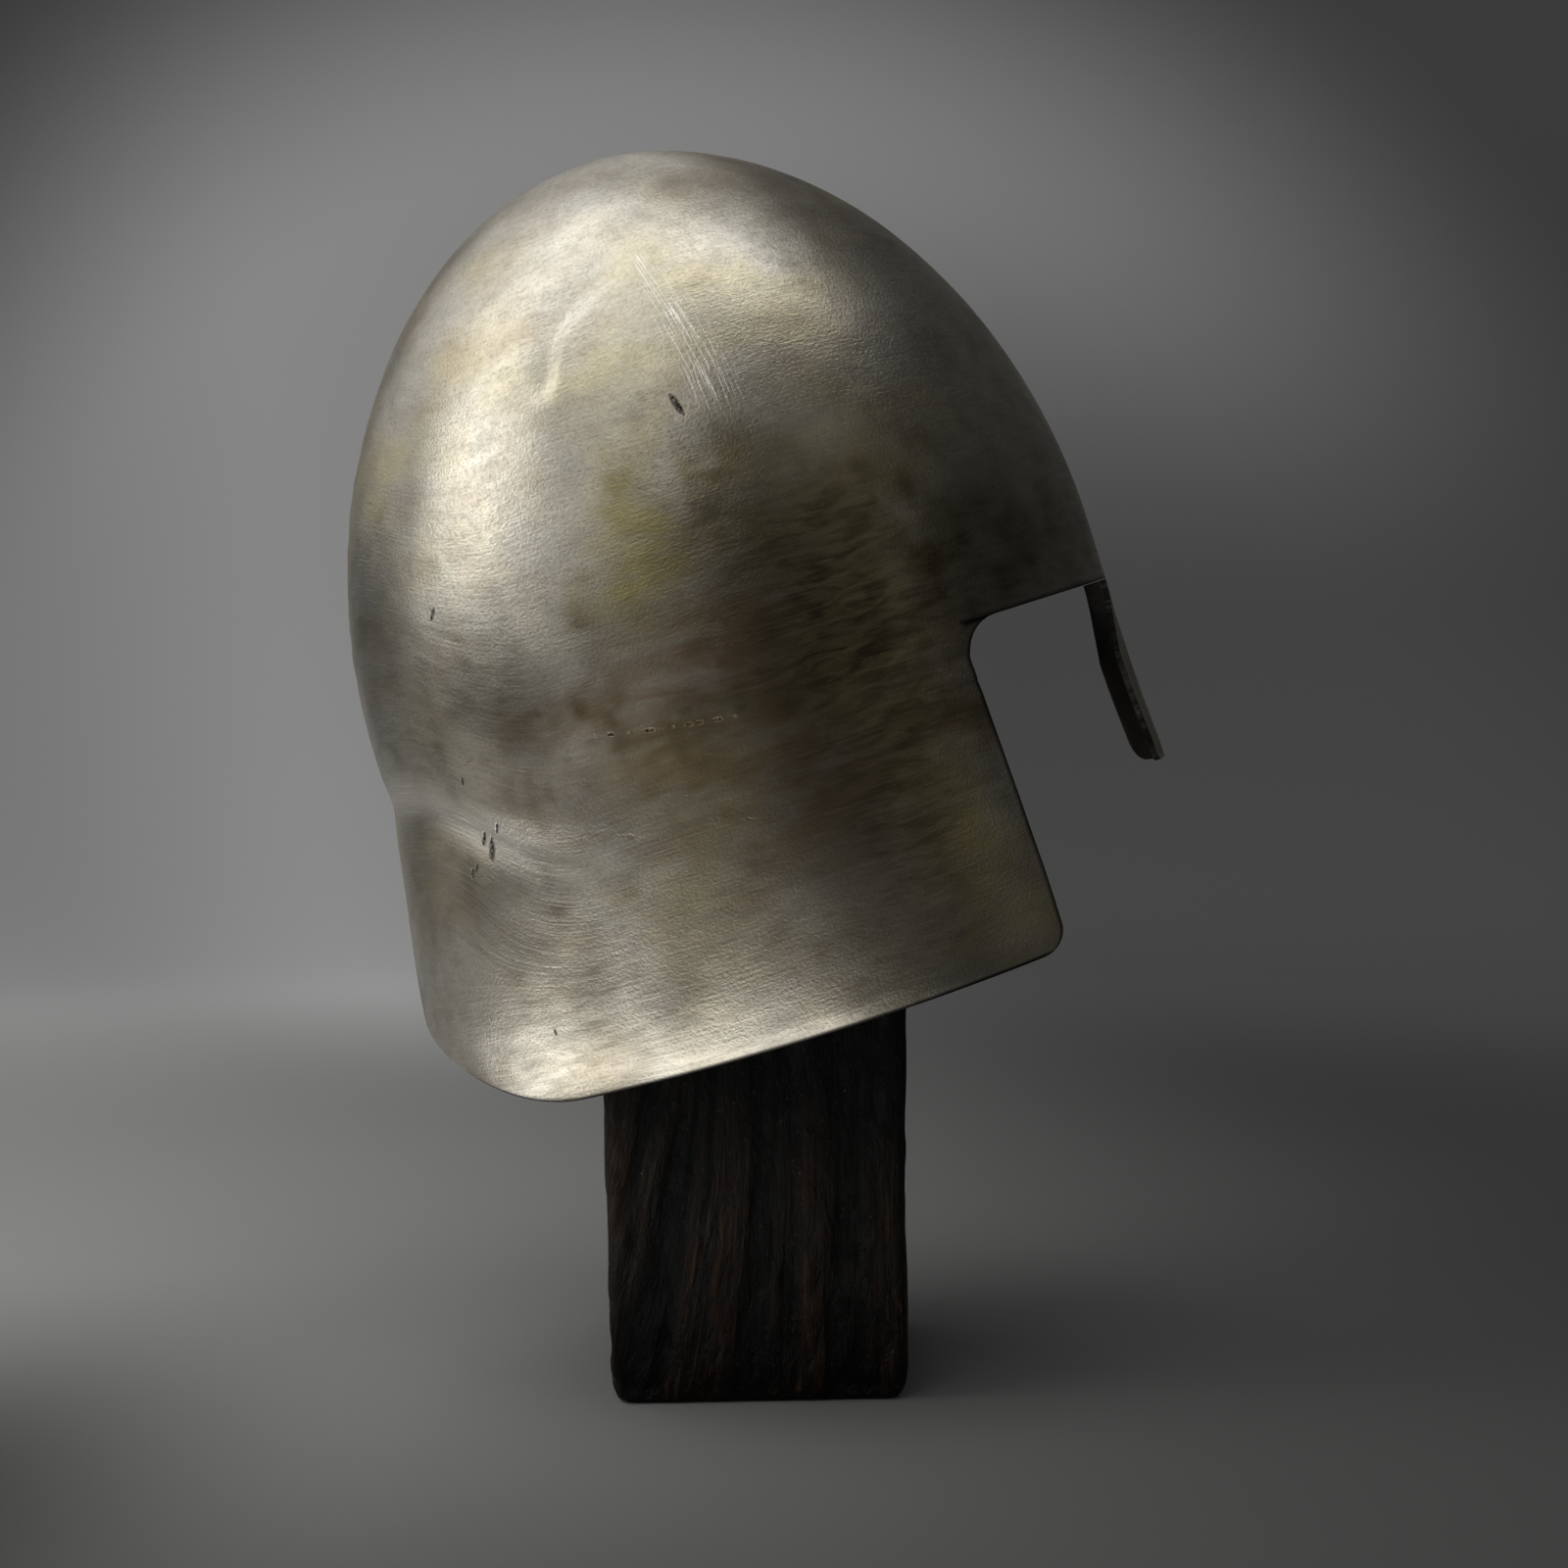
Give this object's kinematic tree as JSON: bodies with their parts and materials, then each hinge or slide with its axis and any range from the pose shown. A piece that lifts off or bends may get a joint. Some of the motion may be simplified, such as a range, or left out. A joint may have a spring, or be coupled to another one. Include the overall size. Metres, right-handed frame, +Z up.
{
  "type": "nasal helm on display block",
  "caption": "Open-faced raised steel nasal helm with a keeled bowl, flared nape and padded lining, tipped back on a dark timber display block.",
  "frame": {"origin": "centre of the display block's base, on the surface that it stands on", "axes": "+Z up along the block, +X the way the helm faces, +Y towards the wearer's left; the helm leans back 17.5 degrees about Y"},
  "size_m": [0.2653, 0.202, 0.3902],
  "materials": {
    "steel": "satin-ground mild steel with brown and greenish patina, fine level brushing and scratches",
    "leather": "vegetable-tanned leather, dull",
    "linen": "undyed quilted linen",
    "lace": "waxed linen cord",
    "timber": "charred and dark-stained softwood with raised grain"
  },
  "bodies": {
    "stand": {"stand_block": "timber"},
    "helm": {"skull_left_half": "steel", "skull_right_half": "steel", "nasal": "steel", "liner_headband": "leather", "liner_lobe_front": "linen", "liner_lobe_front_left": "linen", "liner_lobe_back_left": "linen", "liner_lobe_back": "linen", "liner_lobe_back_right": "linen", "liner_lobe_front_right": "linen", "crown_lace": "lace"}
  },
  "joints": [
    {"name": "helm_lift", "type": "slide", "parent": "stand", "child": "helm", "axis": [0, 0, 1], "range_m": [0, 0.3]}
  ]
}
